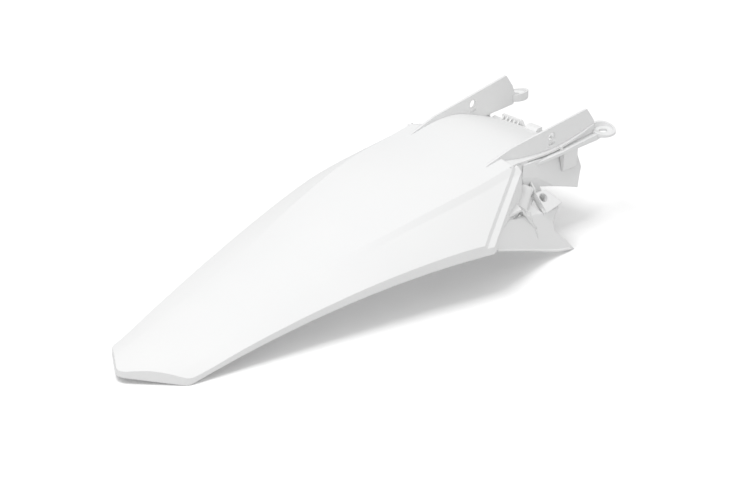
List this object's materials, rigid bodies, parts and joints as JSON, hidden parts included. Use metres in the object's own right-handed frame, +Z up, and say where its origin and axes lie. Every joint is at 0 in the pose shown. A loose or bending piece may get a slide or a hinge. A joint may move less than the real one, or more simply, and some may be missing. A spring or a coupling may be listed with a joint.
{
  "type": "motorcycle rear fender",
  "caption": "Moulded plastic rear fender of an off-road motorcycle: long tapered crowned deck, upright seat ears, screw tabs and flared side skirts; it keeps mud off the rider.",
  "frame": {"origin": "middle of the length and width, on the floor plane under the tail corners and skirt tips", "axes": "+X to the front of the motorcycle, +Y to its left, +Z up"},
  "size_m": [0.6348, 0.245, 0.122],
  "materials": {
    "shell": "satin white, injection moulded"
  },
  "bodies": {
    "root": {"rear_fender": "shell"}
  },
  "joints": []
}
